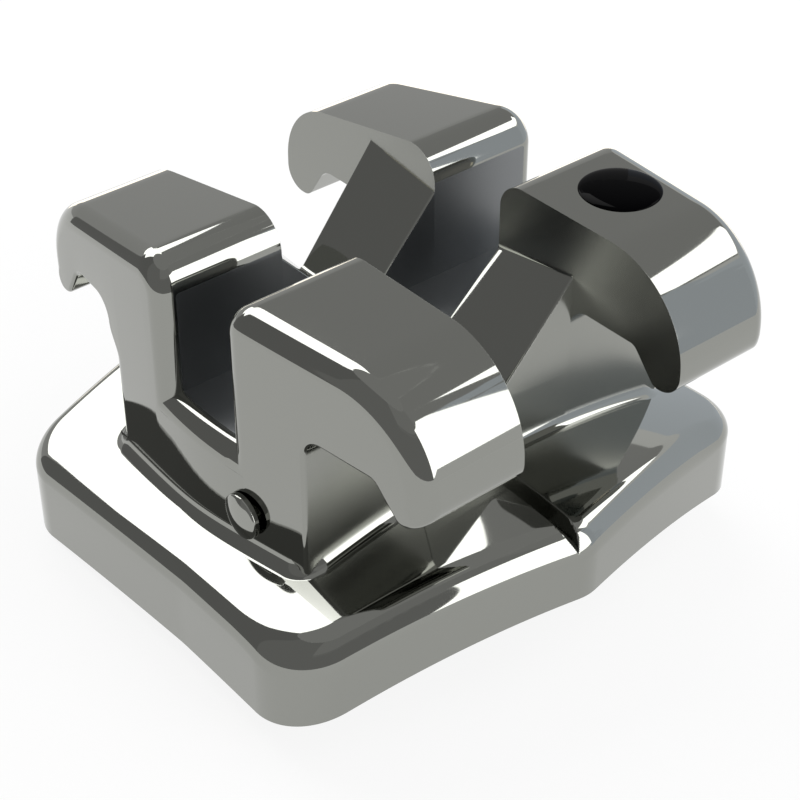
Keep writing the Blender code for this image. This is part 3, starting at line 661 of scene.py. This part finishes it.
def card(name, corners, colour, strength):
    """A studio card on a sphere round the object: azimuth and elevation mix four corners' angles.

    The corners are (azimuth, elevation) in degrees, anticlockwise from the lower left as the object
    sees it. The point is the radius times (cos e cos a, cos e sin a, sin e). The camera doesn't see it.
    """
    u, v = np.meshgrid(np.linspace(0, 1, 33), np.linspace(0, 1, 17))
    low = np.array(corners[0])[:, None, None] * (1 - u) + np.array(corners[1])[:, None, None] * u
    high = np.array(corners[3])[:, None, None] * (1 - u) + np.array(corners[2])[:, None, None] * u
    azimuth, elevation = np.radians(low * (1 - v) + high * v).reshape(2, -1)
    radius = CARD_RADIUS if strength > 1.5 else TENT_RADIUS
    flat = np.cos(elevation)
    points = radius * np.column_stack([flat * np.cos(azimuth), flat * np.sin(azimuth), np.sin(elevation)])
    mesh = bpy.data.meshes.new(name)
    mesh.from_pydata(points * 0.001, [], grid_faces(17, 33, False))
    obj = bpy.data.objects.new(name, mesh)
    bpy.context.scene.collection.objects.link(obj)
    made = bpy.data.materials.new(name)
    made.use_nodes = True
    tree = made.node_tree
    tree.nodes.remove(tree.nodes["Principled BSDF"])
    glow = node(tree, "ShaderNodeEmission", {"Color": linear(colour), "Strength": strength})
    tree.links.new(glow.outputs["Emission"], tree.nodes["Material Output"].inputs["Surface"])
    mesh.materials.append(made)
    obj.visible_camera = False


def studio():
    """A pale floor and world, with a tent of grey cards and softboxes for the steel to mirror."""
    world = bpy.data.worlds.new("studio")
    bpy.context.scene.world = world
    world.use_nodes = True
    tree = world.node_tree
    seen = seen_as_background(tree)
    level = node(tree, "ShaderNodeMapRange", {"To Min": 0.4, "To Max": 1.0}, {"Value": seen})
    tree.links.new(level.outputs["Result"], tree.nodes["Background"].inputs["Strength"])
    tree.nodes["Background"].inputs["Color"].default_value = (1.0, 1.0, 1.0, 1.0)

    around = np.radians(np.arange(96) * 3.75)
    plan = FLOOR_RADIUS * np.column_stack([np.cos(around), np.sin(around)])
    rim = np.column_stack([plan, np.full(96, FLOOR_Z)])
    mesh = bpy.data.meshes.new("floor")
    mesh.from_pydata(rim * 0.001, [], [list(range(96))])
    floor = bpy.data.objects.new("floor", mesh)
    bpy.context.scene.collection.objects.link(floor)
    made, tree, shader = shader_of("matt_white_floor")
    shader.inputs["Base Color"].default_value = (0.14, 0.14, 0.14, 1.0)
    shader.inputs["Roughness"].default_value = 1.0
    shader.inputs["Specular IOR Level"].default_value = 0.0
    shader.inputs["Emission Color"].default_value = (1.0, 1.0, 1.0, 1.0)
    lifted = {"operation": "MULTIPLY", 1: FLOOR_LIFT}
    lift = node(tree, "ShaderNodeMath", lifted, {0: seen_as_background(tree)})
    tree.links.new(lift.outputs["Value"], shader.inputs["Emission Strength"])
    mesh.materials.append(made)

    for name, corners, colour, strength in CARDS:
        card(name, corners, colour, strength)


steel = polished_steel("electropolished_stainless_steel", "#91928D", 0.04)
enamel = black_enamel("fired_black_enamel")
bright = polished_steel("polished_stud_steel", "#979893", 0.05)

casting = [
    wings("mesial_wings", -1),
    wings("distal_wings", 1),
    valley_block("occlusal_ramps", 1),
    valley_block("gingival_ramps", -1),
    slot_bed("slot_bed"),
    pad("bonding_pad"),
    foot("foot_fillet"),
    retention_posts("retention_posts"),
]
for piece in casting:
    piece.data.materials.append(steel)
    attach(piece, "root")
    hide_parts("casting")

dot = id_dot("enamel_dot")
dot.data.materials.append(enamel)
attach(dot, "root")
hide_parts("id_dot")

button = stud("side_stud")
button.data.materials.append(bright)
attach(button, "root")
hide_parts("mesial_stud")

camera()
studio()
bpy.context.scene.view_settings.view_transform = "Standard"
